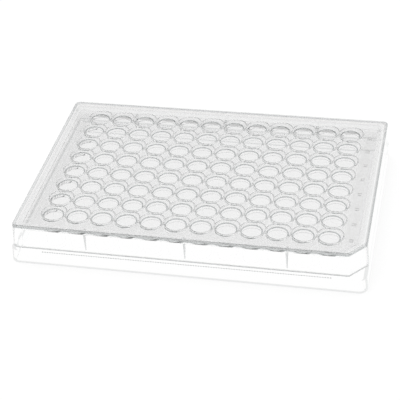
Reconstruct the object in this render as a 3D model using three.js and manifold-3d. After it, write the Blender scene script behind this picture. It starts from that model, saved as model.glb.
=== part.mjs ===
// A clear 96-well plate with its loose lid on, in millimetres, +Z up.
// The origin is the middle of the footprint, on the surface that the plate stands on.
// The plate is one moulding: a hollow flange, a narrower body with a flat deck, and wells that pass through
// the deck and stand a little proud of it. The lid is a second moulding. It rests on the rim of the body, its
// skirt stops short of the flange, and a low ring runs around each well under its sheet.

import * as THREE from 'three';
import { mergeVertices } from 'three/addons/utils/BufferGeometryUtils.js';
import Module from 'manifold-3d';

// Footprint of the plate
const PLATE_LENGTH = 127.76;
const PLATE_WIDTH = 85.48;
const PLATE_HEIGHT = 14.2;
const CORNER_RADIUS = 3.18;
const SHARPEST_CORNER = 1.2;
const CORNER_STEPS = 4;

// The corner beside well A1 is cut off, on the body and on the lid. The cut is given at the footprint.
const NOTCH_LENGTH = 6.4;
const NOTCH_WIDTH = 7.5;
const NOTCH_RADIUS = 1.2;
const NOTCH_STEPS = 2;

// Flange: the open skirt that the plate stands on
const FLANGE_HEIGHT = 5.4;
const FLANGE_WALL = 1.3;
const FLANGE_LEAN = 0.4;
const LEDGE_THICKNESS = 1.2;
const LEDGE_DEPTH = 2.25;

// Body: the narrower upper part, which ends in a raised rim around the deck
const BODY_WALL = 1.3;
const BODY_LEAN = 0.35;
const RIM_WIDTH = 1.3;
const RIM_HEIGHT = 1.25;
const DECK_THICKNESS = 0.9;

// Wells: a collar above the deck, a tapered bore and a thin floor
const WELL_COLUMNS = 12;
const WELL_ROWS = 8;
const WELL_PITCH = 9;
const WELL_SIDES = 8;
const WELL_DEPTH = 10.8;
const BORE_RADIUS = 3.45;
const BORE_TAPER = 0.25;
const WELL_WALL = 0.5;
const FLOOR_THICKNESS = 1.1;
const COLLAR_HEIGHT = 0.6;
const COLLAR_RADIUS = 4.0;

// Gussets: thin webs that brace the long walls under the deck, midway between two columns of wells
const GUSSET_COLUMNS = [2, 6, 10];
const GUSSET_THICKNESS = 1.0;
const GUSSET_DEPTH = 2.0;

// Lid
const LID_SHEET = 1.0;
const LID_SKIRT = 1.1;
const LID_LEAN = 0.7;
const LID_EDGE_RADIUS = 0.5;
const LID_EDGE_STEPS = 2;
const LID_SEAT_GAP = 0.25;
const LID_SIDE_GAP = 0.85;
const LID_SKIRT_GAP = 0.8;
const LID_SHIFT = 0.45;

// Rings under the lid's sheet, one around each well, which keep drops of condensation apart
const RING_RADIUS = 4.5;
const RING_WIDTH = 0.4;
const RING_HEIGHT = 0.5;

// Pads under the lid's corners, which rest on the rim beside the end columns of wells and leave a vent
const PAD_LENGTH = 4.6;
const PAD_WIDTH = 7.8;
const PAD_THICKNESS = 0.2;
const PAD_SEAT = 0.6;
const PAD_SIDE = 36.2;

// How far a cutter runs past the face that it opens
const CUT_MARGIN = 1;

// Heights and insets that follow from the sizes above. An inset is measured in from the footprint.
const DECK_TOP = PLATE_HEIGHT - RIM_HEIGHT;
const DECK_BOTTOM = DECK_TOP - DECK_THICKNESS;
const LEDGE_BOTTOM = FLANGE_HEIGHT - LEDGE_THICKNESS;
const BODY_FOOT_INSET = FLANGE_LEAN + LEDGE_DEPTH;
const BODY_TOP_INSET = BODY_FOOT_INSET + BODY_LEAN;
const COLLAR_TOP = DECK_TOP + COLLAR_HEIGHT;
const WELL_FLOOR = COLLAR_TOP - WELL_DEPTH;
const PAD_UNDERSIDE = PLATE_HEIGHT + LID_SEAT_GAP;
const LID_UNDERSIDE = PAD_UNDERSIDE + PAD_THICKNESS;
const LID_TOP = LID_UNDERSIDE + LID_SHEET;
const LID_EDGE = FLANGE_HEIGHT + LID_SKIRT_GAP;
const LID_INNER_INSET = BODY_FOOT_INSET - LID_SIDE_GAP;
const LID_OUTER_INSET = LID_INNER_INSET - LID_SKIRT;

const wasm = await Module();
wasm.setup();

/** Turns a closed three.js geometry into a solid that can be joined and cut. */
function toSolid(geometry) {
  geometry.deleteAttribute('normal');
  geometry.deleteAttribute('uv');
  const merged = mergeVertices(geometry);
  const mesh = new wasm.Mesh({
    numProp: 3,
    vertProperties: Float32Array.from(merged.attributes.position.array),
    triVerts: Uint32Array.from(merged.index.array),
  });
  return new wasm.Manifold(mesh);
}

/** Turns a finished solid back into a three.js geometry. */
function toGeometry(solid) {
  const mesh = solid.getMesh();
  const geometry = new THREE.BufferGeometry();
  geometry.setAttribute('position', new THREE.BufferAttribute(mesh.vertProperties, 3));
  geometry.setIndex(new THREE.BufferAttribute(mesh.triVerts, 1));
  geometry.computeVertexNormals();
  return geometry;
}

/** The points of one rounded corner, on the way from `before` past `corner` to `after`. */
function roundedCorner(before, corner, after, radius, steps) {
  const back = before.clone().sub(corner).normalize();
  const ahead = after.clone().sub(corner).normalize();
  const halfAngle = Math.acos(back.dot(ahead)) / 2;
  const reach = radius / Math.tan(halfAngle);
  const start = corner.clone().addScaledVector(back, reach);
  const end = corner.clone().addScaledVector(ahead, reach);
  const bisector = back.clone().add(ahead).normalize();
  const centre = corner.clone().addScaledVector(bisector, radius / Math.sin(halfAngle));
  const startAngle = start.clone().sub(centre).angle();
  const endAngle = end.clone().sub(centre).angle();
  const turn = THREE.MathUtils.euclideanModulo(endAngle - startAngle, 2 * Math.PI);
  const points = [];
  for (let step = 0; step <= steps; step += 1) {
    const angle = startAngle + turn * step / steps;
    points.push(new THREE.Vector2(Math.cos(angle), Math.sin(angle)).multiplyScalar(radius).add(centre));
  }
  return points;
}

/** The outline in plan, anticlockwise and set in from the footprint, with or without the cut corner. */
function planOutline(inset, notched) {
  const x = PLATE_LENGTH / 2 - inset;
  const y = PLATE_WIDTH / 2 - inset;
  const plainRadius = Math.max(CORNER_RADIUS - inset, SHARPEST_CORNER);
  const corners = [
    { at: new THREE.Vector2(x, y), radius: plainRadius, steps: CORNER_STEPS },
    { at: new THREE.Vector2(-x, y), radius: plainRadius, steps: CORNER_STEPS },
    { at: new THREE.Vector2(-x, -y), radius: plainRadius, steps: CORNER_STEPS },
  ];
  if (notched) {
    // The cut stays parallel to itself as the outline is set in, so its legs shorten.
    const slant = Math.hypot(NOTCH_LENGTH, NOTCH_WIDTH);
    const length = NOTCH_LENGTH - inset * (1 - (slant - NOTCH_LENGTH) / NOTCH_WIDTH);
    const width = NOTCH_WIDTH - inset * (1 - (slant - NOTCH_WIDTH) / NOTCH_LENGTH);
    corners.push({ at: new THREE.Vector2(x - length, -y), radius: NOTCH_RADIUS, steps: NOTCH_STEPS });
    corners.push({ at: new THREE.Vector2(x, -y + width), radius: NOTCH_RADIUS, steps: NOTCH_STEPS });
  } else {
    corners.push({ at: new THREE.Vector2(x, -y), radius: plainRadius, steps: CORNER_STEPS });
  }
  return corners.flatMap((corner, index) => {
    const before = corners.at(index - 1).at;
    const after = corners[(index + 1) % corners.length].at;
    return roundedCorner(before, corner.at, after, corner.radius, corner.steps);
  });
}

/** A closed solid through outlines of equal point counts, given from the lowest to the highest. */
function loft(levels) {
  const count = levels[0].outline.length;
  const positions = levels.flatMap(({ outline, z }) => outline.flatMap((point) => [point.x, point.y, z]));
  const indices = [];
  for (let level = 0; level < levels.length - 1; level += 1) {
    for (let point = 0; point < count; point += 1) {
      const next = (point + 1) % count;
      const low = level * count;
      const high = low + count;
      indices.push(low + point, low + next, high + next);
      indices.push(low + point, high + next, high + point);
    }
  }
  const top = (levels.length - 1) * count;
  for (const [a, b, c] of THREE.ShapeUtils.triangulateShape(levels[0].outline, [])) {
    indices.push(a, c, b);
  }
  for (const [a, b, c] of THREE.ShapeUtils.triangulateShape(levels.at(-1).outline, [])) {
    indices.push(top + a, top + b, top + c);
  }
  const geometry = new THREE.BufferGeometry();
  geometry.setAttribute('position', new THREE.Float32BufferAttribute(positions, 3));
  geometry.setIndex(indices);
  return toSolid(geometry);
}

/** A drafted block between two heights, with an inset at each. */
function block(bottom, bottomInset, top, topInset, notched) {
  return loft([
    { outline: planOutline(bottomInset, notched), z: bottom },
    { outline: planOutline(topInset, notched), z: top },
  ]);
}

/** An upright cone frustum with as many sides as a well. */
function barrel(centre, bottom, bottomRadius, top, topRadius) {
  const geometry = new THREE.CylinderGeometry(topRadius, bottomRadius, top - bottom, WELL_SIDES);
  geometry.rotateX(Math.PI / 2);
  geometry.translate(centre.x, centre.y, (bottom + top) / 2);
  return toSolid(geometry);
}

/** The body wall's inset at a height: it leans in from its foot on the ledge to its top. */
function bodyInset(z) {
  return THREE.MathUtils.mapLinear(z, FLANGE_HEIGHT, PLATE_HEIGHT, BODY_FOOT_INSET, BODY_TOP_INSET);
}

/** The bore's radius at a height: it narrows from the collar's top to the floor. */
function boreRadius(z) {
  return THREE.MathUtils.mapLinear(z, WELL_FLOOR, COLLAR_TOP, BORE_RADIUS - BORE_TAPER, BORE_RADIUS);
}

/** The centres of all the wells, column by column from -X and row by row from -Y. */
function wellCentres() {
  const centres = [];
  for (let column = 0; column < WELL_COLUMNS; column += 1) {
    for (let row = 0; row < WELL_ROWS; row += 1) {
      const x = (column - (WELL_COLUMNS - 1) / 2) * WELL_PITCH;
      const y = (row - (WELL_ROWS - 1) / 2) * WELL_PITCH;
      centres.push(new THREE.Vector2(x, y));
    }
  }
  return centres;
}

/** The flange and the body, hollow from below, with the deck sunk inside the rim. */
function plateShell() {
  const flange = block(0, 0, FLANGE_HEIGHT, FLANGE_LEAN, false);
  const body = block(LEDGE_BOTTOM, bodyInset(LEDGE_BOTTOM), PLATE_HEIGHT, BODY_TOP_INSET, true);
  const flangeHollow = block(-CUT_MARGIN, FLANGE_WALL, LEDGE_BOTTOM, FLANGE_WALL + FLANGE_LEAN, false);
  const bodyHollow = block(
    -CUT_MARGIN,
    bodyInset(-CUT_MARGIN) + BODY_WALL,
    DECK_BOTTOM,
    bodyInset(DECK_BOTTOM) + BODY_WALL,
    true,
  );
  const deckInset = BODY_TOP_INSET + RIM_WIDTH;
  const deckRecess = block(DECK_TOP, deckInset, PLATE_HEIGHT + CUT_MARGIN, deckInset, true);
  return flange.add(body).subtract(flangeHollow).subtract(bodyHollow).subtract(deckRecess);
}

/** One well's outside: the collar above the deck and the tube that hangs under it. */
function wellWall(centre) {
  const tubeBottom = WELL_FLOOR - FLOOR_THICKNESS;
  const tubeTop = (DECK_TOP + DECK_BOTTOM) / 2;
  const tube = barrel(
    centre,
    tubeBottom,
    boreRadius(tubeBottom) + WELL_WALL,
    tubeTop,
    boreRadius(tubeTop) + WELL_WALL,
  );
  const collar = barrel(centre, tubeTop, COLLAR_RADIUS, COLLAR_TOP, COLLAR_RADIUS);
  return tube.add(collar);
}

/** One well's bore, from its floor to just above its collar. */
function wellBore(centre) {
  const top = COLLAR_TOP + CUT_MARGIN;
  return barrel(centre, WELL_FLOOR, boreRadius(WELL_FLOOR), top, boreRadius(top));
}

/** One triangular web between the deck and a long wall. `side` is 1 at the back and -1 at the front. */
function gusset(columnGap, side) {
  const x = (columnGap - WELL_COLUMNS / 2) * WELL_PITCH;
  const wallMiddle = PLATE_WIDTH / 2 - bodyInset(DECK_BOTTOM) - BODY_WALL / 2;
  const footMiddle = PLATE_WIDTH / 2 - BODY_FOOT_INSET - BODY_WALL / 2;
  const deckMiddle = (DECK_TOP + DECK_BOTTOM) / 2;
  const tip = wallMiddle - BODY_WALL / 2 - GUSSET_DEPTH;
  const web = new THREE.Shape([
    new THREE.Vector2(side * footMiddle, FLANGE_HEIGHT),
    new THREE.Vector2(side * wallMiddle, deckMiddle),
    new THREE.Vector2(side * tip, deckMiddle),
    new THREE.Vector2(side * tip, DECK_BOTTOM),
  ]);
  const geometry = new THREE.ExtrudeGeometry(web, { depth: GUSSET_THICKNESS, bevelEnabled: false });
  geometry.translate(0, 0, -GUSSET_THICKNESS / 2);
  // The web is drawn in Y and Z, so it is turned from the XY plane to stand across X.
  geometry.rotateX(Math.PI / 2);
  geometry.rotateZ(Math.PI / 2);
  geometry.translate(x, 0, 0);
  return toSolid(geometry);
}

/** The whole plate as one moulding. */
function wellPlate() {
  const centres = wellCentres();
  let plate = plateShell();
  for (const centre of centres) {
    plate = plate.add(wellWall(centre));
  }
  for (const columnGap of GUSSET_COLUMNS) {
    plate = plate.add(gusset(columnGap, 1)).add(gusset(columnGap, -1));
  }
  for (const centre of centres) {
    plate = plate.subtract(wellBore(centre));
  }
  return plate;
}

/** The outside of the lid, with its top edge rounded. */
function lidOutside() {
  const levels = [{ outline: planOutline(LID_OUTER_INSET, true), z: LID_EDGE }];
  for (let step = 0; step <= LID_EDGE_STEPS; step += 1) {
    const angle = Math.PI / 2 * step / LID_EDGE_STEPS;
    const z = LID_TOP - LID_EDGE_RADIUS * (1 - Math.sin(angle));
    const lean = THREE.MathUtils.mapLinear(z, LID_EDGE, LID_TOP, 0, LID_LEAN);
    const inset = LID_OUTER_INSET + lean + LID_EDGE_RADIUS * (1 - Math.cos(angle));
    levels.push({ outline: planOutline(inset, true), z });
  }
  return loft(levels);
}

/** The ring under the sheet around one well. It runs up into the sheet to join it. */
function lidRing(centre) {
  const bottom = LID_UNDERSIDE - RING_HEIGHT;
  const top = LID_UNDERSIDE + LID_SHEET / 2;
  const outer = RING_RADIUS + RING_WIDTH / 2;
  const inner = RING_RADIUS - RING_WIDTH / 2;
  const disc = barrel(centre, bottom, outer, top, outer);
  return disc.subtract(barrel(centre, bottom - CUT_MARGIN, inner, top + CUT_MARGIN, inner));
}

/** One pad under the lid, in the corner given by its signs. It runs up into the sheet to join it. */
function lidPad(signX, signY) {
  const outerEnd = PLATE_LENGTH / 2 - BODY_TOP_INSET - RIM_WIDTH + PAD_SEAT;
  const top = LID_UNDERSIDE + LID_SHEET / 2;
  const pad = new THREE.BoxGeometry(PAD_LENGTH, PAD_WIDTH, top - PAD_UNDERSIDE);
  pad.translate(
    signX * (outerEnd - PAD_LENGTH / 2),
    signY * (PAD_SIDE - PAD_WIDTH / 2),
    (top + PAD_UNDERSIDE) / 2,
  );
  return toSolid(pad);
}

/** The whole lid as one moulding. */
function plateLid() {
  const hollow = block(
    LID_EDGE - CUT_MARGIN,
    LID_INNER_INSET,
    LID_UNDERSIDE,
    LID_INNER_INSET + LID_LEAN,
    true,
  );
  let lid = lidOutside().subtract(hollow);
  for (const centre of wellCentres()) {
    lid = lid.add(lidRing(centre));
  }
  for (const signX of [-1, 1]) {
    for (const signY of [-1, 1]) {
      lid = lid.add(lidPad(signX, signY));
    }
  }
  return lid;
}

/** A named mesh in clear polystyrene. */
function clearPart(name, solid) {
  const material = new THREE.MeshStandardMaterial({
    name: `${name}_clear`,
    color: 0xeef2f3,
    roughness: 0.08,
    metalness: 0,
    transparent: true,
    opacity: 0.35,
  });
  const mesh = new THREE.Mesh(toGeometry(solid), material);
  mesh.name = name;
  return mesh;
}

const plate = clearPart('well_plate', wellPlate());
const lid = clearPart('lid', plateLid());
lid.position.x = LID_SHIFT;

const wellPlateWithLid = new THREE.Group();
wellPlateWithLid.add(plate, lid);

export default wellPlateWithLid;
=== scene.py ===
"""A clear 96-well plate with its loose lid on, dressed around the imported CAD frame.

Both mouldings are rebuilt as fine closed meshes with the sizes of their solids: round wells with rounded
collars, drafted walls and small edge radii, which is what makes clear plastic readable. Sizes are in
millimetres until a mesh is written, and the frame's own units are metres. The front is the side towards -Y.
"""

import logging
import math
from dataclasses import dataclass, field
from enum import Enum

import bmesh
import bpy
from mathutils import Matrix, Vector
from mathutils.geometry import tessellate_polygon

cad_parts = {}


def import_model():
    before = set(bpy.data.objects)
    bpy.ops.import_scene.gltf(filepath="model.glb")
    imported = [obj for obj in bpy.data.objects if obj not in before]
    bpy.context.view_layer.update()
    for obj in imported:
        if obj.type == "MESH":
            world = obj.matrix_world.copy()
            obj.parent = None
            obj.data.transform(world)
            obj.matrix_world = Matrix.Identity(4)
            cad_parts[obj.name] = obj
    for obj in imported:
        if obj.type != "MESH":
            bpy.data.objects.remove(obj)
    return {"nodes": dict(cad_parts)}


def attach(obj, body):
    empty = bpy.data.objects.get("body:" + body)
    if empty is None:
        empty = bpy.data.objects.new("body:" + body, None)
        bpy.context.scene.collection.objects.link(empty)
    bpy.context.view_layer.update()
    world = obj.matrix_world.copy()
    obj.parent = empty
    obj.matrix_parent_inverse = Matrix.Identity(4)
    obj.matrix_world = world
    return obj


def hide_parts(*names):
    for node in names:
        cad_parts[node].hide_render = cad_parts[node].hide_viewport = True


MM = 0.001
BODY = "root"
WHITE = (1.0, 1.0, 1.0, 1.0)

# A normal's upright part is more than the first of these on a level face, and less than the second on a wall.
LEVEL_FROM = 0.995
WALL_UP_TO = 0.12

# Walls of this area, in square metres, or more are shaded flat, and edges that turn by this angle stay sharp.
LARGE_FACE = 2e-5
SMOOTH_ANGLE = math.radians(50)

# Gussets, pads and index bars are closed shells of their own, which stop this short of their moulding.
SHELL_GAP = 0.02

log = logging.getLogger("well_plate")

Point = tuple[float, float]
Loop = list[int]


class Side(Enum):
    """Which way a flat face looks."""

    UP = 1
    DOWN = -1


@dataclass(frozen=True)
class ClearPlastic:
    """Clear moulded polystyrene.

    Attributes:
        name: The material's name.
        tint_and_painted_shade: The colour that the plastic lets through, which is grey where it paints shade.
        ripple: How far the moulded surface waves, as a bump strength.
        ripple_size: Waves per metre.
        ripple_detail: How many finer waves lie on the ripple.
        haze: The least and the greatest roughness of the polished surface.
        ior: How strongly the plastic bends the light.
    """

    name: str
    tint_and_painted_shade: tuple[float, float, float] = (1.0, 1.0, 1.0)
    ripple: float = 0.03
    ripple_size: float = 90.0
    ripple_detail: float = 2.0
    haze: tuple[float, float] = (0.0, 0.04)
    ior: float = 1.585

    def material(self) -> bpy.types.Material:
        """Builds the node tree.

        Returns:
            The finished material.
        """
        made = bpy.data.materials.new(self.name)
        made.use_nodes = True
        nodes = made.node_tree.nodes
        links = made.node_tree.links
        shader = nodes["Principled BSDF"]
        shader.inputs["Base Color"].default_value = (*self.tint_and_painted_shade, 1.0)
        shader.inputs["IOR"].default_value = self.ior
        shader.inputs["Transmission Weight"].default_value = 1.0

        place = nodes.new("ShaderNodeTexCoord")
        waves = nodes.new("ShaderNodeTexNoise")
        waves.inputs["Scale"].default_value = self.ripple_size
        waves.inputs["Detail"].default_value = self.ripple_detail
        links.new(place.outputs["Object"], waves.inputs["Vector"])

        bump = nodes.new("ShaderNodeBump")
        bump.inputs["Strength"].default_value = self.ripple
        bump.inputs["Distance"].default_value = MM
        links.new(waves.outputs["Fac"], bump.inputs["Height"])
        links.new(bump.outputs["Normal"], shader.inputs["Normal"])

        cloud = nodes.new("ShaderNodeMapRange")
        cloud.inputs["To Min"].default_value = self.haze[0]
        cloud.inputs["To Max"].default_value = self.haze[1]
        links.new(waves.outputs["Fac"], cloud.inputs["Value"])
        links.new(cloud.outputs["Result"], shader.inputs["Roughness"])
        return made


class Plastic(Enum):
    """The materials of a moulding, in the order of its slots. Those of the edges, lips and foot paint shade.
    """

    WALL = 0
    EDGE_PAINTED_SHADE = 1
    TUBE = 2
    LIP_PAINTED_SHADE = 3
    FOOT_PAINTED_SHADE = 4


@dataclass(frozen=True)
class LipPaintedShade(ClearPlastic):
    """The same plastic in the wells' rounded lips and along the top of the lid's front, tinted dark grey as
    painted shade.
    """

    tint_and_painted_shade: tuple[float, float, float] = (0.35, 0.37, 0.37)


@dataclass(frozen=True)
class EdgePaintedShade(ClearPlastic):
    """The same plastic in the front's thin ends and where the tubes meet the deck, tinted evenly grey as
    painted shade.
    """

    ior: float = 1.04
    tint_and_painted_shade: tuple[float, float, float] = (0.42, 0.43, 0.43)


@dataclass(frozen=True)
class FootPaintedShade(EdgePaintedShade):
    """The same plastic in the foot, the gussets and the thin ends of the other sides, tinted pale grey as
    lighter painted shade.
    """

    tint_and_painted_shade: tuple[float, float, float] = (0.68, 0.69, 0.69)


@dataclass(frozen=True)
class TubePlastic(ClearPlastic):
    """The same plastic in the tubes, the body wall and the pads, which bends the light only a little."""

    ior: float = 1.02


def add_object(name: str, data: bpy.types.ID) -> bpy.types.Object:
    """Adds an object to the scene.

    Args:
        name: The object's name.
        data: Its mesh, lamp or camera.

    Returns:
        The new object.
    """
    made = bpy.data.objects.new(name, data)
    bpy.context.scene.collection.objects.link(made)
    return made


def span(middle: float, length: float) -> Point:
    """Returns both ends of a length around its middle."""
    return middle - length / 2, middle + length / 2


@dataclass
class Draft:
    """A mesh in the making, whose points are shared wherever they fall into the same grain."""

    points: list[tuple[float, float, float]] = field(default_factory=list)
    faces: list[list[int]] = field(default_factory=list)
    known: dict[tuple[int, int, int], int] = field(default_factory=dict)
    grain: float = 1e-4

    def point(self, x: float, y: float, z: float) -> int:
        """Adds a point, unless it is there already.

        Args:
            x: Its place along the length.
            y: Its place across the width.
            z: Its height.

        Returns:
            The point's index.
        """
        key = (round(x / self.grain), round(y / self.grain), round(z / self.grain))
        if key not in self.known:
            self.known[key] = len(self.points)
            self.points.append((x, y, z))
        return self.known[key]

    def loop(self, outline: list[Point], z: float) -> Loop:
        """Adds an outline at one height."""
        return [self.point(x, y, z) for x, y in outline]

    def face(self, corners: list[int]) -> None:
        """Adds a face, without the corners that fall together.

        Args:
            corners: The corners, anticlockwise when seen from outside.
        """
        kept = [c for i, c in enumerate(corners) if c != corners[i - 1]]
        if len(set(kept)) > 2 and len(set(kept)) == len(kept):
            self.faces.append(kept)

    def skin(self, low: Loop, high: Loop, closed: bool = True) -> None:
        """Joins two loops of equal length by a band that faces out when they run anticlockwise.

        Args:
            low: The lower loop.
            high: The upper loop.
            closed: Whether the loops' ends meet.
        """
        count = len(low)
        for i in range(count if closed else count - 1):
            j = (i + 1) % count
            self.face([low[i], low[j], high[j], high[i]])

    def stack(self, loops: list[Loop], inwards: bool = False) -> None:
        """Joins each loop to the next.

        Args:
            loops: The loops in order, of equal length.
            inwards: Whether the bands face the other way.
        """
        for low, high in zip(loops, loops[1:]):
            pair = (high, low) if inwards else (low, high)
            self.skin(*pair)

    def fan(self, loop: Loop, centre: int, side: Side) -> None:
        """Closes a loop with triangles that meet at a centre.

        Args:
            loop: The loop, anticlockwise from above.
            centre: The centre's index.
            side: Which way the triangles look.
        """
        for i, corner in enumerate(loop):
            after = loop[(i + 1) % len(loop)]
            self.face([corner, after, centre] if side is Side.UP else [after, corner, centre])

    def fill(self, loops: list[Loop], side: Side) -> None:
        """Fills the flat region inside the first loop and outside the others.

        Args:
            loops: The loops, all at one height.
            side: Which way the region looks.
        """
        corners = [c for loop in loops for c in loop]
        flat = [[Vector((*self.points[c][:2], 0.0)) for c in loop] for loop in loops]
        triangles = [[corners[i] for i in triangle] for triangle in tessellate_polygon(flat)]
        area = 0.0
        for triangle in triangles:
            a, b, c = (Vector(self.points[corner]) for corner in triangle)
            area += (b - a).cross(c - a).z
        forward = (area > 0) == (side is Side.UP)
        for triangle in triangles:
            self.face(triangle if forward else triangle[::-1])

    def block(self, xs: Point, ys: Point, zs: Point) -> None:
        """Adds a small block.

        Args:
            xs: Its ends along the length.
            ys: Its ends across the width.
            zs: Its lower and its upper height.
        """
        outline = [(xs[0], ys[0]), (xs[1], ys[0]), (xs[1], ys[1]), (xs[0], ys[1])]
        bottom, top = self.loop(outline, zs[0]), self.loop(outline, zs[1])
        self.skin(bottom, top)
        self.face(bottom[::-1])
        self.face(top)

    def build(self, name: str) -> bpy.types.Object:
        """Writes the mesh, in metres.

        Args:
            name: The object's name.

        Returns:
            The new object, linked to the scene.
        """
        mesh = bpy.data.meshes.new(name)
        mesh.from_pydata([(x * MM, y * MM, z * MM) for x, y, z in self.points], [], self.faces)
        mesh.validate()
        shade(mesh)
        return add_object(name, mesh)


class Face(Enum):
    """What a face of a moulding is part of, by how steep it is."""

    LEVEL = "level"
    FILLET = "fillet"
    WALL = "wall"

    @classmethod
    def of(cls, normal: Vector) -> "Face":
        """Tells what a face is part of.

        Args:
            normal: The face's normal.

        Returns:
            The kind of face.
        """
        if abs(normal.z) > LEVEL_FROM:
            return cls.LEVEL
        return cls.WALL if abs(normal.z) < WALL_UP_TO else cls.FILLET


def shade(mesh: bpy.types.Mesh) -> None:
    """Shades a moulding so that its flat faces stay flat right up to the fillets between them.

    Args:
        mesh: The mesh, in metres.
    """
    form = bmesh.new()
    form.from_mesh(mesh)
    form.normal_update()
    kinds = [Face.of(face.normal) for face in form.faces]
    form.faces.ensure_lookup_table()
    for face, kind in zip(form.faces, kinds):
        face.smooth = kind is Face.FILLET or (kind is Face.WALL and face.calc_area() < LARGE_FACE)
    for edge in form.edges:
        if len(edge.link_faces) != 2:
            continue
        one, other = edge.link_faces
        same_kind = kinds[one.index] is kinds[other.index]
        edge.smooth = same_kind and edge.calc_face_angle(0.0) < SMOOTH_ANGLE
    form.to_mesh(mesh)
    form.free()


@dataclass(frozen=True)
class Footprint:
    """The plan view that both mouldings follow, with the cut corner beside well A1."""

    length: float = 127.76
    width: float = 85.48
    corner_radius: float = 3.18
    sharpest_corner: float = 1.2
    corner_steps: int = 12
    notch_length: float = 6.4
    notch_width: float = 7.5
    notch_radius: float = 1.2
    notch_steps: int = 6

    @staticmethod
    def rounded(before: Point, corner: Point, after: Point, radius: float, steps: int) -> list[Point]:
        """Rounds one corner of the outline.

        Args:
            before: The outline's previous corner.
            corner: The corner to round.
            after: The outline's next corner.
            radius: The corner's radius.
            steps: How many facets the corner gets.

        Returns:
            The points along the rounded corner.
        """
        at = Vector(corner)
        back = (Vector(before) - at).normalized()
        ahead = (Vector(after) - at).normalized()
        half = math.acos(max(-1.0, min(1.0, back.dot(ahead)))) / 2
        start = at + back * radius / math.tan(half)
        end = at + ahead * radius / math.tan(half)
        centre = at + (back + ahead).normalized() * radius / math.sin(half)
        first = math.atan2(start.y - centre.y, start.x - centre.x)
        last = math.atan2(end.y - centre.y, end.x - centre.x)
        turn = (last - first) % (2 * math.pi)
        angles = [first + turn * i / steps for i in range(steps + 1)]
        return [(centre.x + radius * math.cos(a), centre.y + radius * math.sin(a)) for a in angles]

    def outline(self, inset: float, notched: bool) -> list[Point]:
        """Draws the outline, anticlockwise.

        Args:
            inset: How far the outline is set in from the footprint.
            notched: Whether the A1 corner is cut off.

        Returns:
            The outline's points.
        """
        x = self.length / 2 - inset
        y = self.width / 2 - inset
        radius = max(self.corner_radius - inset, self.sharpest_corner)
        plain = (radius, self.corner_steps)
        corners = [((x, y), plain), ((-x, y), plain), ((-x, -y), plain)]
        if notched:
            slant = math.hypot(self.notch_length, self.notch_width)
            length = self.notch_length - inset * (1 - (slant - self.notch_length) / self.notch_width)
            width = self.notch_width - inset * (1 - (slant - self.notch_width) / self.notch_length)
            cut = (self.notch_radius, self.notch_steps)
            corners += [((x - length, -y), cut), ((x, -y + width), cut)]
        else:
            corners.append(((x, -y), plain))
        points: list[Point] = []
        for i, (at, (corner_radius, steps)) in enumerate(corners):
            before = corners[i - 1][0]
            after = corners[(i + 1) % len(corners)][0]
            points += self.rounded(before, at, after, corner_radius, steps)
        return points


@dataclass(frozen=True)
class Wall:
    """One step of a wall's section: an inset from the footprint and a height."""

    inset: float
    z: float


def rounded_edge(before: Wall, corner: Wall, after: Wall, radius: float, steps: int) -> list[Wall]:
    """Rounds one corner of a wall's section.

    Args:
        before: The section's previous corner.
        corner: The corner to round.
        after: The section's next corner.
        radius: The edge radius.
        steps: How many facets the edge gets.

    Returns:
        The section's points along the rounded edge.
    """
    at = Vector((corner.inset, corner.z))
    back = (Vector((before.inset, before.z)) - at).normalized()
    ahead = (Vector((after.inset, after.z)) - at).normalized()
    half = math.acos(max(-1.0, min(1.0, back.dot(ahead)))) / 2
    centre = at + (back + ahead).normalized() * radius / math.sin(half)
    start = at + back * radius / math.tan(half) - centre
    end = at + ahead * radius / math.tan(half) - centre
    made = []
    for i in range(steps + 1):
        spoke = start.lerp(end, i / steps).normalized() * radius + centre
        made.append(Wall(spoke.x, spoke.y))
    return made


def rounded_section(corners: list[Wall], radii: list[float], steps: int = 3) -> list[Wall]:
    """Rounds the inner corners of an open section.

    Args:
        corners: The section's corners in order.
        radii: The edge radius of each corner but the first and the last. 0 leaves it sharp.
        steps: How many facets each rounded edge gets.

    Returns:
        The section's points.
    """
    section = [corners[0]]
    for i, radius in enumerate(radii, start=1):
        if radius:
            section += rounded_edge(corners[i - 1], corners[i], corners[i + 1], radius, steps)
        else:
            section.append(corners[i])
    section.append(corners[-1])
    return section


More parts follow.
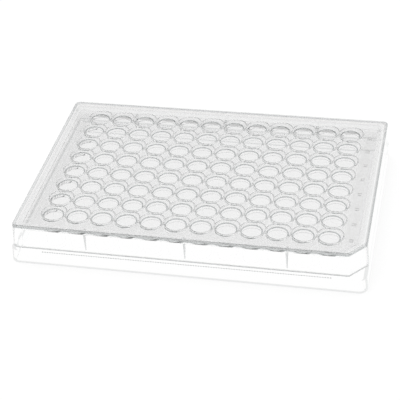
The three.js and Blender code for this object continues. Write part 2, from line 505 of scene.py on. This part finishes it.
@dataclass(frozen=True)
class WellGrid:
    """The square cells that the wells stand in, and the faces that fill them."""

    columns: int = 12
    rows: int = 8
    pitch: float = 9.0
    rays: int = 40

    @property
    def half_x(self) -> float:
        """Half the grid's length."""
        return self.columns * self.pitch / 2

    @property
    def half_y(self) -> float:
        """Half the grid's width."""
        return self.rows * self.pitch / 2

    def centres(self) -> list[Point]:
        """Returns the centres of all the cells."""
        half = self.pitch / 2
        return [
            ((2 * c + 1) * half - self.half_x, (2 * r + 1) * half - self.half_y)
            for c in range(self.columns)
            for r in range(self.rows)
        ]

    @staticmethod
    def height_at(profile: list[Point], radius: float) -> float:
        """Finds a profile's height, which is level outside its ends.

        Args:
            profile: Radius and height of each of its points.
            radius: Where the height is wanted.

        Returns:
            The height at that radius.
        """
        ordered = sorted(profile)
        if radius <= ordered[0][0]:
            return ordered[0][1]
        for (r0, z0), (r1, z1) in zip(ordered, ordered[1:]):
            if radius <= r1:
                return z0 + (z1 - z0) * (radius - r0) / (r1 - r0)
        return ordered[-1][1]

    def cell_reach(self, angle: float) -> float:
        """Returns the distance from a cell's centre to its side."""
        return self.pitch / 2 / max(abs(math.cos(angle)), abs(math.sin(angle)))

    def rings(self, draft: Draft, centre: Point, profile: list[Point]) -> list[Loop]:
        """Adds the rings of a profile around a well, none of them past its cell.

        Args:
            draft: The mesh so far.
            centre: The well's centre.
            profile: Radius and height of each ring, from the cell's side inwards.

        Returns:
            One loop for each ring.
        """
        made = []
        for radius, z in profile:
            ring = []
            for i in range(self.rays):
                angle = 2 * math.pi * i / self.rays
                reach = self.cell_reach(angle)
                r = min(radius, reach)
                level = z if radius <= reach else self.height_at(profile, reach)
                x, y = centre[0] + r * math.cos(angle), centre[1] + r * math.sin(angle)
                ring.append(draft.point(x, y, level))
            made.append(ring)
        return made

    def side_stations(self) -> list[float]:
        """Returns the offsets along a cell's side where its rays meet it."""
        eighth = self.rays // 8
        return [self.pitch / 2 * math.tan(2 * math.pi * i / self.rays) for i in range(-eighth, eighth + 1)]

    def outline(self) -> list[Point]:
        """Draws the outline of all the cells.

        Returns:
            The outline's points, anticlockwise.
        """
        stations = self.side_stations()[:-1]
        half = self.pitch / 2
        along_x = [(2 * c + 1) * half - self.half_x + s for c in range(self.columns) for s in stations]
        along_y = [(2 * r + 1) * half - self.half_y + s for r in range(self.rows) for s in stations]
        return (
            [(self.half_x, y) for y in along_y]
            + [(-x, self.half_y) for x in along_x]
            + [(-self.half_x, -y) for y in along_y]
            + [(x, -self.half_y) for x in along_x]
        )

    def strips(self, draft: Draft, profile: list[Point], width: float, side: Side) -> list[Point]:
        """Adds a strip outside the outer cells, where a ring runs past them.

        Args:
            draft: The mesh so far.
            profile: Radius and height across the ring.
            width: The strip's width, past the ring's outer edge.
            side: Which way the strip looks.

        Returns:
            The strips' outer outline, anticlockwise.
        """
        half = self.pitch / 2
        steps = sorted({0.0, width, *(r - half for r, _ in profile if half < r < half + width)})
        outline: list[Point] = []
        sides = [
            (self.rows, lambda out, along: (self.half_x + out, along)),
            (self.columns, lambda out, along: (-along, self.half_y + out)),
            (self.rows, lambda out, along: (-self.half_x - out, -along)),
            (self.columns, lambda out, along: (along, -self.half_y - out)),
        ]
        for count, place in sides:
            end = count * half
            outline += [place(out, -end) for out in steps]
            for cell in range(count):
                middle = (cell - (count - 1) / 2) * self.pitch
                bands = []
                for out in steps:
                    band = []
                    for offset in self.side_stations():
                        z = self.height_at(profile, math.hypot(half + out, offset))
                        band.append(draft.point(*place(out, middle + offset), z))
                    bands.append(band)
                for near, away in zip(bands, bands[1:]):
                    low, high = (away, near) if side is Side.UP else (near, away)
                    draft.skin(low, high, closed=False)
                outline += [place(width, middle + offset) for offset in self.side_stations()[1:]]
            outline += [place(out, end) for out in steps[-2:0:-1]]
        return outline


@dataclass
class WellPlate:
    """The plate: flange, body, deck, wells and gussets, with fine studs and index bars."""

    plan: Footprint = field(default_factory=Footprint)
    grid: WellGrid = field(default_factory=WellGrid)
    height: float = 14.2
    flange_height: float = 5.4
    flange_wall: float = 1.3
    flange_lean: float = 0.4
    ledge_thickness: float = 1.2
    ledge_depth: float = 2.25
    body_wall: float = 1.3
    body_lean: float = 0.35
    rim_width: float = 1.3
    rim_height: float = 1.25
    deck_thickness: float = 0.9
    edge_radius: float = 0.2

    well_depth: float = 10.8
    bore_radius: float = 3.45
    bore_taper: float = 0.25
    well_wall: float = 0.5
    floor_thickness: float = 1.1
    floor_radius: float = 0.4
    collar_height: float = 0.6
    collar_radius: float = 4.0
    lip_radius: float = 0.26
    foot_radius: float = 0.15
    tube_steps: int = 2

    # The gussets stand at these gaps between columns, and are as thin as gusset_foot at their lower end.
    gusset_gaps: tuple[int, ...] = (2, 6, 10)
    gusset_thickness: float = 1.0
    gusset_foot: float = 0.3
    gusset_depth: float = 2.0

    # The row of studs runs this far to both ends. Its place inside the flange's upper edge is in edge radii.
    stud_pitch: float = 0.9
    stud_length: float = 0.45
    stud_reach: float = 51.6
    stud_near: float = 1.5
    stud_far: float = 0.6
    stud_drop: float = 1 / 3

    # Two index bars beside each row, apart from its middle by this share of their length.
    mark_spread: float = 1 / 3
    mark_place: float = 57.0
    mark_length: float = 1.6
    mark_width: float = 0.3
    mark_height: float = 0.15

    # How far a plastic reaches past the faces that it is meant for, and how far the painted shade at the
    # tubes' roots reaches down them from the deck.
    face_margin: float = 0.05
    root_depth: float = 0.3

    @property
    def deck_top(self) -> float:
        """The deck's upper face."""
        return self.height - self.rim_height

    @property
    def deck_bottom(self) -> float:
        """The deck's lower face."""
        return self.deck_top - self.deck_thickness

    @property
    def ledge_bottom(self) -> float:
        """The lower face of the ledge between flange and body."""
        return self.flange_height - self.ledge_thickness

    @property
    def foot_inset(self) -> float:
        """The inset of the body wall's foot."""
        return self.flange_lean + self.ledge_depth

    @property
    def top_inset(self) -> float:
        """The inset of the rim's outer face at its top."""
        return self.foot_inset + self.body_lean

    @property
    def collar_top(self) -> float:
        """The height of the wells' mouths."""
        return self.deck_top + self.collar_height

    @property
    def well_floor(self) -> float:
        """The height of the wells' floors."""
        return self.collar_top - self.well_depth

    def body_inset(self, z: float) -> float:
        """Returns the body wall's inset at a height."""
        share = (z - self.flange_height) / (self.height - self.flange_height)
        return self.foot_inset + share * self.body_lean

    def bore(self, z: float) -> float:
        """Returns the bore's radius at a height."""
        return self.bore_radius - self.bore_taper * (self.collar_top - z) / self.well_depth

    def well_profile(self) -> list[Point]:
        """Draws the upper side of a well, from the deck over the lip down to the floor.

        Returns:
            Radius and height of each point.
        """
        corners = [
            Wall(self.grid.pitch, self.deck_top),
            Wall(self.collar_radius, self.deck_top),
            Wall(self.collar_radius, self.collar_top),
            Wall(self.bore_radius, self.collar_top),
            Wall(self.bore(self.well_floor), self.well_floor),
            Wall(0.0, self.well_floor),
        ]
        radii = [self.foot_radius, self.lip_radius, self.lip_radius, self.floor_radius]
        profile = [(w.inset, w.z) for w in rounded_section(corners, radii)[:-1]]
        below_deck = next(i for i, (_, z) in enumerate(profile) if z < self.deck_bottom)
        profile.insert(below_deck, (self.bore(self.deck_bottom), self.deck_bottom))
        return profile

    def tube_profile(self) -> list[Point]:
        """Draws a tube's outer face, from the deck's lower face down.

        Returns:
            Radius and height of each point.
        """
        low = self.well_floor - self.floor_thickness
        corners = [
            Wall(self.grid.pitch, self.deck_bottom),
            Wall(self.bore(self.deck_bottom) + self.well_wall, self.deck_bottom),
            Wall(self.bore(low) + self.well_wall, low),
            Wall(0.0, low),
        ]
        tube = rounded_section(corners, [self.foot_radius, self.lip_radius], self.tube_steps)
        return [(w.inset, w.z) for w in tube[:-1]]

    def add_well(self, draft: Draft, centre: Point) -> None:
        """Adds one well's share of the deck, its collar, bore, floor and tube.

        Args:
            draft: The mesh so far.
            centre: The well's centre.
        """
        top = self.grid.rings(draft, centre, self.well_profile())
        draft.stack(top)
        draft.fan(top[-1], draft.point(*centre, self.well_floor), Side.UP)
        tube = self.grid.rings(draft, centre, self.tube_profile())
        draft.stack(tube, inwards=True)
        draft.fan(tube[-1], draft.point(*centre, self.well_floor - self.floor_thickness), Side.DOWN)

    def add_shell(self, draft: Draft) -> None:
        """Adds the flange, the ledge, the body wall, the rim and the deck's margins.

        Args:
            draft: The mesh so far.
        """
        edge = self.edge_radius
        middle = self.plan.width / 2
        lean, wall = self.flange_lean, self.flange_wall
        flange = rounded_section(
            [
                Wall(wall + lean, self.ledge_bottom),
                Wall(wall, 0.0),
                Wall(0.0, 0.0),
                Wall(lean, self.flange_height),
                Wall(self.foot_inset, self.flange_height),
            ],
            [edge, edge, edge],
        )[:-1]
        loops = [draft.loop(self.plan.outline(w.inset, False), w.z) for w in flange]
        draft.stack(loops)

        rim_inner = self.top_inset + self.rim_width
        body = rounded_section(
            [
                Wall(0.0, self.flange_height),
                Wall(self.foot_inset, self.flange_height),
                Wall(self.top_inset, self.height),
                Wall(rim_inner, self.height),
                Wall(rim_inner, self.deck_top),
                Wall(middle, self.deck_top),
            ],
            [edge, edge, edge, edge],
        )[1:-1]
        body_loops = [draft.loop(self.plan.outline(w.inset, True), w.z) for w in body]
        draft.stack(body_loops)
        draft.fill([loops[-1], body_loops[0]], Side.UP)
        draft.fill([body_loops[-1], draft.loop(self.grid.outline(), self.deck_top)], Side.UP)

        inner = rounded_section(
            [
                Wall(0.0, self.ledge_bottom),
                Wall(self.body_inset(self.ledge_bottom) + self.body_wall, self.ledge_bottom),
                Wall(self.body_inset(self.deck_bottom) + self.body_wall, self.deck_bottom),
                Wall(middle, self.deck_bottom),
            ],
            [edge, edge],
        )[1:-1]
        inner_loops = [draft.loop(self.plan.outline(w.inset, True), w.z) for w in inner]
        draft.stack(inner_loops, inwards=True)
        draft.fill([loops[0], inner_loops[0]], Side.DOWN)
        draft.fill([inner_loops[-1], draft.loop(self.grid.outline(), self.deck_bottom)], Side.DOWN)

    def wall_inside(self, z: float) -> float:
        """Returns how far the inner face of the long walls stands from the middle at a height."""
        return self.plan.width / 2 - self.body_inset(z) - self.body_wall

    def web_outline(self) -> list[Point]:
        """Draws a gusset, just clear of the wall and the deck.

        Returns:
            Distance from the plate's middle and height of each corner.
        """
        top = self.deck_bottom - SHELL_GAP
        tip = self.wall_inside(self.deck_bottom) - self.gusset_depth
        foot = self.wall_inside(self.flange_height) + SHELL_GAP
        lean = (self.wall_inside(self.flange_height) - self.wall_inside(top)) / (top - self.flange_height)
        slope = (foot - tip) / (top - self.flange_height)
        low = self.flange_height + (foot - self.wall_inside(self.flange_height)) / (slope - lean)
        shoulder = top - self.edge_radius
        return [
            (self.wall_inside(low) - SHELL_GAP, low),
            (self.wall_inside(shoulder) - SHELL_GAP, shoulder),
            (self.wall_inside(top) - self.edge_radius, top),
            (tip, top),
        ]

    def web_half(self, z: float) -> float:
        """Returns half of a gusset's thickness, which shrinks towards its foot."""
        share = (z - self.flange_height) / (self.deck_bottom - self.flange_height)
        return (self.gusset_foot + (self.gusset_thickness - self.gusset_foot) * share) / 2

    def web_place(self, gap: int) -> float:
        """Returns where a gusset stands along the plate, at a gap between two columns of wells."""
        return gap * self.grid.pitch - self.grid.half_x

    def add_gussets(self, draft: Draft) -> None:
        """Adds the gussets that brace the long walls under the deck.

        Args:
            draft: The mesh so far.
        """
        for gap in self.gusset_gaps:
            x = self.web_place(gap)
            outline = self.web_outline()
            for side in (1, -1):
                left = [draft.point(x - self.web_half(z), side * y, z) for y, z in outline]
                right = [draft.point(x + self.web_half(z), side * y, z) for y, z in outline]
                if side > 0:
                    left, right = right, left
                draft.skin(left, right)
                draft.face(left[::-1])
                draft.face(right)

    def stud_box(self) -> tuple[Point, Point]:
        """Places the studs inside the flange's upper edge.

        Returns:
            Their ends across the plate, from the middle outwards, and their lower and upper height.
        """
        outer = self.plan.width / 2 - self.flange_lean
        across = (outer - self.stud_near * self.edge_radius, outer - self.stud_far * self.edge_radius)
        high = self.flange_height - self.stud_drop * self.edge_radius
        return across, (high - self.edge_radius, high)

    def add_studs(self, draft: Draft) -> None:
        """Adds the row of fine studs just under the upper edge of the flange's long sides.

        Args:
            draft: The mesh so far.
        """
        (near, far), heights = self.stud_box()
        count = int(2 * self.stud_reach / self.stud_pitch)
        for stud in range(count + 1):
            xs = span(stud * self.stud_pitch - count * self.stud_pitch / 2, self.stud_length)
            draft.block(xs, (near, far), heights)
            draft.block(xs, (-far, -near), heights)

    def add_index_marks(self, draft: Draft) -> None:
        """Adds two plain raised bars beside each row of wells.

        Args:
            draft: The mesh so far.
        """
        low = self.deck_top + SHELL_GAP
        xs = span(self.mark_place, self.mark_length)
        for row in range(self.grid.rows):
            middle = row * self.grid.pitch - self.grid.half_y + self.grid.pitch / 2
            for side in (1, -1):
                ys = span(middle + side * self.mark_length * self.mark_spread, self.mark_width)
                draft.block(xs, ys, (low, low + self.mark_height))

    def build(self) -> bpy.types.Object:
        """Builds the plate.

        Returns:
            The plate's object.
        """
        draft = Draft()
        for centre in self.grid.centres():
            self.add_well(draft, centre)
        self.add_shell(draft)
        self.add_gussets(draft)
        self.add_studs(draft)
        self.add_index_marks(draft)
        plate = draft.build("plate_moulding")
        self.mark_faces(plate.data)
        return plate

    def in_web(self, mesh: bpy.types.Mesh, face: bpy.types.MeshPolygon) -> bool:
        """Tells whether a face lies within the thickness of a gusset.

        Args:
            mesh: The plate's mesh.
            face: One of its faces.

        Returns:
            Whether all its corners do.
        """
        half = (self.gusset_thickness / 2 + self.face_margin) * MM
        xs = [mesh.vertices[v].co.x for v in face.vertices]
        places = (self.web_place(gap) * MM for gap in self.gusset_gaps)
        return any(place - half < min(xs) and max(xs) < place + half for place in places)

    def is_short(self, mesh: bpy.types.Mesh, face: bpy.types.MeshPolygon) -> bool:
        """Tells whether a face is no longer than a stud and lies along their row.

        Args:
            mesh: The plate's mesh.
            face: One of its faces.

        Returns:
            Whether both hold.
        """
        xs = [mesh.vertices[v].co.x for v in face.vertices]
        in_row = abs(face.center.x) < (self.stud_reach + self.stud_length) * MM
        return in_row and max(xs) - min(xs) < (self.stud_length + self.face_margin) * MM

    def mark_faces(self, mesh: bpy.types.Mesh) -> None:
        """Gives the plate's faces their plastics.

        The tubes' plastic covers the wells and the body wall under the deck. Among the inner wells, and in
        the right column, it covers the deck's own thickness too. The foot, the gussets, the studs, the wells'
        lips and the fillets at the tubes' roots get grey plastics as painted shade, and the studs' painted
        shade is darker at the front.

        Args:
            mesh: The plate's mesh.
        """
        reach_x, reach_y = self.grid.half_x * MM, self.grid.half_y * MM
        among_x, among_y = (reach - self.grid.pitch / 2 * MM for reach in (reach_x, reach_y))
        below = (self.deck_bottom - self.face_margin) * MM
        within = (self.deck_top - self.face_margin) * MM
        lip = (self.collar_top - self.lip_radius - self.face_margin) * MM
        foot = (self.edge_radius + self.face_margin) * MM
        ledge = (self.ledge_bottom - self.edge_radius) * MM
        root = (self.deck_bottom - self.root_depth) * MM
        web_end = max(y for y, _ in self.web_outline()) * MM
        (stud_near, _), (stud_low, _) = self.stud_box()
        near, low = ((edge - self.face_margin) * MM for edge in (stud_near, stud_low))
        for face in mesh.polygons:
            x, y, z = face.center
            plastic = Plastic.WALL
            # The foot, the gussets, the studs, the lips and the fillets at the tubes' roots take grey
            # plastics as painted shade; the studs' is darker at the front.
            if z < foot:
                plastic = Plastic.FOOT_PAINTED_SHADE
            elif reach_y < abs(y) < web_end and self.in_web(mesh, face):
                plastic = Plastic.FOOT_PAINTED_SHADE
            elif abs(y) > near and z > low and self.is_short(mesh, face):
                plastic = Plastic.EDGE_PAINTED_SHADE if y < 0 else Plastic.FOOT_PAINTED_SHADE
            elif abs(x) > reach_x or abs(y) > reach_y:
                plastic = Plastic.TUBE if ledge < z < below else Plastic.WALL
            elif z > lip:
                plastic = Plastic.LIP_PAINTED_SHADE
            elif root < z < below and Face.of(face.normal) is Face.FILLET:
                plastic = Plastic.EDGE_PAINTED_SHADE
            elif z < below or (z < within and x > -among_x and abs(y) < among_y):
                plastic = Plastic.TUBE
            face.material_index = plastic.value


@dataclass
class Lid:
    """The loose lid: a sheet with a skirt, one cut corner, four low pads and a ring over each well."""

    plate: WellPlate
    sheet: float = 1.0
    skirt: float = 1.1
    lean: float = 0.7
    edge_radius: float = 0.5
    inner_radius: float = 0.25
    hem_radius: float = 0.3
    seat_gap: float = 0.25
    side_gap: float = 0.85
    skirt_gap: float = 0.8
    shift: float = 0.45
    ring_radius: float = 4.5
    ring_width: float = 0.4
    ring_height: float = 0.5
    ring_foot: float = 0.06
    ring_round: float = 0.14
    pad_length: float = 4.6
    pad_width: float = 7.8
    pad_thickness: float = 0.2
    pad_seat: float = 0.6
    pad_side: float = 36.2

    # How far outside the wells the pads' finish starts, and how far under the sheet the strip of painted
    # shade does.
    well_margin: float = 0.5
    shade_strip_depth: float = 0.1

    @property
    def pad_bottom(self) -> float:
        """The height of the pads' lower faces, which hang over the plate's rim."""
        return self.plate.height + self.seat_gap

    @property
    def underside(self) -> float:
        """The height of the sheet's lower face."""
        return self.pad_bottom + self.pad_thickness

    @property
    def top(self) -> float:
        """The height of the sheet's upper face."""
        return self.underside + self.sheet

    @property
    def hem(self) -> float:
        """The height of the skirt's lower end."""
        return self.plate.flange_height + self.skirt_gap

    @property
    def shade_strip_bottom(self) -> float:
        """The height where the strip of painted shade along the top of the front starts."""
        return self.underside - self.shade_strip_depth

    def section(self) -> list[Wall]:
        """Draws the lid's section, from the sheet's underside around the skirt to its upper face.

        Returns:
            The section's points, without the two in the lid's middle.
        """
        middle = self.plate.plan.width / 2
        inner = self.plate.foot_inset - self.side_gap
        outer = inner - self.skirt
        corners = [
            Wall(middle, self.underside),
            Wall(inner + self.lean, self.underside),
            Wall(inner, self.hem),
            Wall(outer, self.hem),
            Wall(outer + self.lean, self.top),
            Wall(middle, self.top),
        ]
        radii = [self.inner_radius, self.hem_radius, self.hem_radius, self.edge_radius]
        section = rounded_section(corners, radii)[1:-1]
        low = self.underside + self.inner_radius
        above = next(i for i, w in enumerate(section) if w.z > low and w.inset < inner)
        share = (self.shade_strip_bottom - self.hem) / (self.top - self.hem)
        section.insert(above, Wall(outer + share * self.lean, self.shade_strip_bottom))
        return section

    def ring_profile(self) -> list[Point]:
        """Draws the section of the ring over a well, from outside in.

        Returns:
            Radius and height of each point.
        """
        outer = self.ring_radius + self.ring_width / 2
        inner = self.ring_radius - self.ring_width / 2
        low = self.underside - self.ring_height
        corners = [
            Wall(self.plate.grid.pitch, self.underside),
            Wall(outer, self.underside),
            Wall(outer - self.ring_foot, low),
            Wall(inner + self.ring_foot, low),
            Wall(inner, self.underside),
            Wall(0.0, self.underside),
        ]
        radii = [self.ring_foot, self.ring_round, self.ring_round, self.ring_foot]
        return [(w.inset, w.z) for w in rounded_section(corners, radii)[:-1]]

    def add_rings(self, draft: Draft) -> list[Point]:
        """Adds the sheet's underside over the wells, with its rings.

        Args:
            draft: The mesh so far.

        Returns:
            The outline of that region, anticlockwise.
        """
        grid = self.plate.grid
        profile = self.ring_profile()
        for centre in grid.centres():
            made = grid.rings(draft, centre, profile)
            draft.stack(made, inwards=True)
            draft.fan(made[-1], draft.point(*centre, self.underside), Side.DOWN)
        return grid.strips(draft, profile, self.ring_width, Side.DOWN)

    def add_pads(self, draft: Draft) -> None:
        """Adds the four pads near the lid's corners.

        Args:
            draft: The mesh so far.
        """
        plate = self.plate
        end = plate.plan.length / 2 - plate.top_inset - plate.rim_width + self.pad_seat
        for sign_x in (1, -1):
            for sign_y in (1, -1):
                xs = sorted((sign_x * end, sign_x * (end - self.pad_length)))
                ys = sorted((sign_y * self.pad_side, sign_y * (self.pad_side - self.pad_width)))
                draft.block(tuple(xs), tuple(ys), (self.pad_bottom, self.underside - SHELL_GAP))

    def build(self) -> bpy.types.Object:
        """Builds the lid where it rests on the plate.

        Returns:
            The lid's object.
        """
        draft = Draft()
        loops = [draft.loop(self.plate.plan.outline(w.inset, True), w.z) for w in self.section()]
        draft.stack(loops)
        draft.fill([loops[-1]], Side.UP)
        region = self.add_rings(draft)
        draft.fill([loops[0], draft.loop(region, self.underside)], Side.DOWN)
        self.add_pads(draft)
        lid = draft.build("lid_moulding")
        self.mark_faces(lid.data)
        lid.data.transform(Matrix.Translation((self.shift * MM, 0.0, 0.0)))
        return lid

    def mark_faces(self, mesh: bpy.types.Mesh) -> None:
        """Gives the lid's faces their plastics.

        The hem, the rounded upper edge and the strip along the top of the front are tinted grey as painted
        shade, and on the hem and the upper edge that painted shade is darker at the front. The pads have the
        tubes' plastic.

        Args:
            mesh: The lid's mesh, before it is moved to its place.
        """
        reach = (self.plate.grid.half_x + self.well_margin) * MM
        pad_low = (self.underside - self.pad_thickness - SHELL_GAP / 2) * MM
        pad_high = (self.underside - SHELL_GAP / 2) * MM
        for face in mesh.polygons:
            x, y, z = face.center
            kind = Face.of(face.normal)
            plastic = Plastic.WALL
            # The hem, the upper edge and the front strip take grey plastics as painted shade, darker at the
            # front than behind.
            if z < (self.hem + self.hem_radius) * MM:
                plastic = Plastic.EDGE_PAINTED_SHADE if y < 0 else Plastic.FOOT_PAINTED_SHADE
            elif z > (self.top - self.edge_radius) * MM and kind is Face.FILLET:
                front = face.normal.y < -abs(face.normal.x)
                plastic = Plastic.EDGE_PAINTED_SHADE if front else Plastic.FOOT_PAINTED_SHADE
            elif z > self.shade_strip_bottom * MM and y < 0 and kind is Face.WALL:
                plastic = Plastic.LIP_PAINTED_SHADE
            elif abs(x) > reach and abs(y) < self.pad_side * MM and pad_low < z < pad_high:
                plastic = Plastic.TUBE
            face.material_index = plastic.value


@dataclass
class Studio:
    """The white floor, the sky, the soft light and the camera."""

    # The camera's angles in degrees and its sizes in millimetres, but for the clipping distance in metres.
    azimuth: float = 14.274
    elevation: float = 36.334
    roll: float = -4.02
    distance: float = 469.264
    aim: tuple[float, float, float] = (-1.556, -6.137, 6.635)
    lens: float = 114.41
    sensor: float = 36.0
    clip_start: float = 0.01

    # The floor, the sky and the lamp, in metres and watts. The floor glows as much as this for the camera.
    floor_size: float = 6.0
    floor_drop: float = 0.0002
    floor_glow: float = 0.9
    sky_low: float = 1.0
    sky_high: float = 0.12
    sky_turn: tuple[float, float] = (0.25, 0.5)
    lamp_size: float = 1.2
    lamp_power: float = 20.0
    lamp_place: tuple[float, float, float] = (-0.2, 0.1, 1.1)
    bounces: int = 128

    def table_material(self) -> bpy.types.Material:
        """Builds the floor's finish: white paper that glows, most of all as seen through and in the plastic.

        Returns:
            The finished material.
        """
        material = bpy.data.materials.new("white_table")
        material.use_nodes = True
        nodes, links = material.node_tree.nodes, material.node_tree.links
        nodes.clear()
        paper = nodes.new("ShaderNodeBsdfDiffuse")
        paper.inputs["Color"].default_value = WHITE
        glow = nodes.new("ShaderNodeEmission")
        path = nodes.new("ShaderNodeLightPath")
        share = nodes.new("ShaderNodeMath")
        share.operation = "MULTIPLY"
        share.inputs[1].default_value = self.floor_glow
        links.new(path.outputs["Is Camera Ray"], share.inputs[0])
        seen = share.outputs[0]
        for ray in ("Is Transmission Ray", "Is Glossy Ray"):
            brighter = nodes.new("ShaderNodeMath")
            brighter.operation = "MAXIMUM"
            links.new(seen, brighter.inputs[0])
            links.new(path.outputs[ray], brighter.inputs[1])
            seen = brighter.outputs[0]
        mix = nodes.new("ShaderNodeMixShader")
        links.new(seen, mix.inputs["Fac"])
        links.new(paper.outputs[0], mix.inputs[1])
        links.new(glow.outputs[0], mix.inputs[2])
        out = nodes.new("ShaderNodeOutputMaterial")
        links.new(mix.outputs[0], out.inputs["Surface"])
        return material

    def build_floor(self) -> None:
        """Builds the floor, which shows white except where the object shades it."""
        half = self.floor_size / 2
        mesh = bpy.data.meshes.new("floor")
        corners = [(-half, -half, 0), (half, -half, 0), (half, half, 0), (-half, half, 0)]
        mesh.from_pydata(corners, [], [(0, 1, 2, 3)])
        mesh.materials.append(self.table_material())
        floor = add_object("floor", mesh)
        floor.location.z = -self.floor_drop

    def build_world(self) -> None:
        """Builds the sky: white low down, and darker overhead where the light hangs."""
        world = bpy.data.worlds.new("studio")
        bpy.context.scene.world = world
        world.use_nodes = True
        nodes, links = world.node_tree.nodes, world.node_tree.links
        background = nodes["Background"]
        place = nodes.new("ShaderNodeTexCoord")
        split = nodes.new("ShaderNodeSeparateXYZ")
        links.new(place.outputs["Generated"], split.inputs[0])
        ramp = nodes.new("ShaderNodeValToRGB")
        links.new(split.outputs["Z"], ramp.inputs["Fac"])
        stops = ramp.color_ramp.elements
        for stop, position, level in zip(stops, self.sky_turn, (self.sky_low, self.sky_high)):
            stop.position = position
            stop.color = (level, level, level, 1.0)
        links.new(ramp.outputs["Color"], background.inputs["Color"])
        background.inputs["Strength"].default_value = 1.0

    def build_lights(self) -> None:
        """Hangs the soft light above the floor. It shows in no reflection, and not through the plastic."""
        data = bpy.data.lights.new("overhead", "AREA")
        data.shape = "RECTANGLE"
        data.size, data.size_y = self.lamp_size, self.lamp_size
        data.energy = self.lamp_power
        lamp = add_object("overhead", data)
        lamp.location = self.lamp_place
        lamp.visible_glossy = False
        lamp.visible_transmission = False

    def build_camera(self) -> None:
        """Sets the camera on its aim, leant over by the roll."""
        azimuth, elevation, roll = (math.radians(a) for a in (self.azimuth, self.elevation, self.roll))
        back = Vector(
            (
                math.sin(azimuth) * math.cos(elevation),
                -math.cos(azimuth) * math.cos(elevation),
                math.sin(elevation),
            )
        )
        right = (-back).cross(Vector((0, 0, 1))).normalized()
        up = right.cross(-back)
        turned_right = math.cos(roll) * right + math.sin(roll) * up
        turned_up = -math.sin(roll) * right + math.cos(roll) * up
        data = bpy.data.cameras.new("camera")
        data.lens = self.lens
        data.sensor_width = self.sensor
        data.clip_start = self.clip_start
        camera = add_object("camera", data)
        place = Vector(self.aim) * MM + back * self.distance * MM
        turn = Matrix((turned_right, turned_up, back)).transposed().to_4x4()
        camera.matrix_world = Matrix.Translation(place) @ turn
        bpy.context.scene.camera = camera

    def build(self) -> None:
        """Builds the whole studio, and lets the light pass through all the plastic's faces."""
        self.build_floor()
        self.build_world()
        self.build_lights()
        self.build_camera()
        scene = bpy.context.scene
        scene.view_settings.view_transform = "Standard"
        scene.cycles.max_bounces = self.bounces
        scene.cycles.transmission_bounces = self.bounces
        scene.cycles.glossy_bounces = self.bounces


def dress(piece: bpy.types.Object, node: str, slot: str, *materials: bpy.types.Material) -> None:
    """Gives a piece its materials and its body, and hides the frame's node that it stands for.

    Args:
        piece: The piece.
        node: The frame's node that it stands for.
        slot: The name of its slot. It is not used.
        *materials: Its materials, in the order of Plastic.
    """
    for material in materials:
        piece.data.materials.append(material)
    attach(piece, BODY)
    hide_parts(node)
    log.info("%s: %d faces, stands for %s", piece.name, len(piece.data.polygons), node)


def main() -> None:
    """Builds every piece in order."""
    logging.basicConfig(level=logging.INFO, format="%(name)s: %(message)s")
    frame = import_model()
    log.info("frame nodes: %s", sorted(frame["nodes"]))
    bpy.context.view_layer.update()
    plate = WellPlate()
    walls = ClearPlastic("plate_polystyrene").material()
    # The edge, lip and foot plastics are tinted grey as painted shade.
    edges = EdgePaintedShade("edge_painted_shade").material()
    tubes = TubePlastic("tube_polystyrene").material()
    lips = LipPaintedShade("lip_painted_shade").material()
    foot = FootPaintedShade("foot_painted_shade").material()
    dress(plate.build(), "well_plate", "plate_plastic", walls, edges, tubes, lips, foot)
    lid = Lid(plate)
    sheet = ClearPlastic("lid_polystyrene", ripple_size=60.0).material()
    dress(lid.build(), "lid", "lid_plastic", sheet, edges, tubes, lips, foot)
    Studio().build()


if __name__ == "__main__":
    main()
